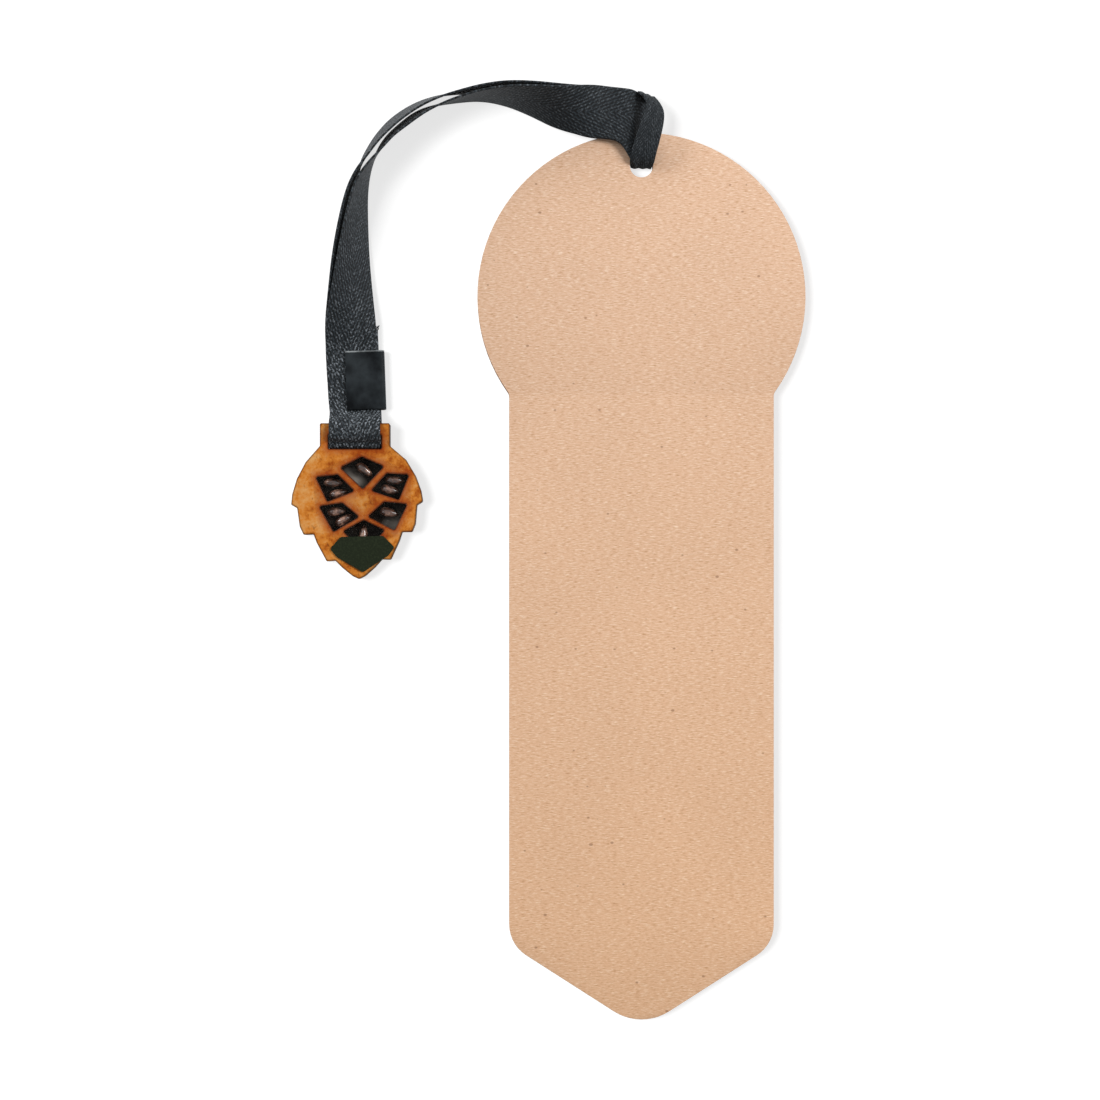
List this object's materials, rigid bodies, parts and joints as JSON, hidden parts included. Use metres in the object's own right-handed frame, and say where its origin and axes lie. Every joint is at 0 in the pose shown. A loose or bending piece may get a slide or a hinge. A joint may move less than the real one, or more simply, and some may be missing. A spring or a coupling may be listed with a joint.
{
  "type": "bookmark",
  "caption": "Kraft-board bookmark with a round head and pointed foot, a woven ribbon knotted through its hole, and a clipped wooden pine-cone charm with seeds behind windows.",
  "frame": {"origin": "middle of the card's back face, on the surface that the card lies on", "axes": "+Y along the card to its round head, +Z out of its front face, -X to the side where the ribbon and charm lie"},
  "size_m": [0.1002, 0.1818, 0.0105],
  "materials": {
    "kraft_board": "matte",
    "ribbon": "matte",
    "clip": "satin",
    "charm_wood": "satin",
    "clear_film": "gloss",
    "backing_sheet": "satin",
    "seal_paper": "matte",
    "seed": "gloss"
  },
  "bodies": {
    "card": {"card": "kraft_board", "knot_loop": "ribbon", "ribbon_root": "ribbon"},
    "ribbon": {"ribbon_front_strand": "ribbon", "ribbon_back_strand": "ribbon", "ribbon_bar_loop": "ribbon", "ribbon_clip": "clip"},
    "cone": {"cone_plate": "charm_wood", "front_film": "clear_film", "back_film": "backing_sheet", "seal_label": "seal_paper", "seed_top": "seed", "seed_upper_left_outer": "seed", "seed_upper_left_inner": "seed", "seed_upper_right_outer": "seed", "seed_upper_right_inner": "seed", "seed_lower_left_outer": "seed", "seed_lower_left_inner": "seed", "seed_lower_right": "seed", "seed_bottom": "seed"}
  },
  "joints": [
    {"name": "ribbon_fold", "type": "hinge", "parent": "card", "child": "ribbon", "pos_m": [-0.006, 0.0901, 0.0033], "axis": [0, 1, 0], "range_deg": [0, 140]},
    {"name": "cone_flip", "type": "hinge", "parent": "ribbon", "child": "cone", "pos_m": [-0.0558, 0.0286, 0.00181], "axis": [-1, 0, 0], "range_deg": [0, 140]}
  ]
}
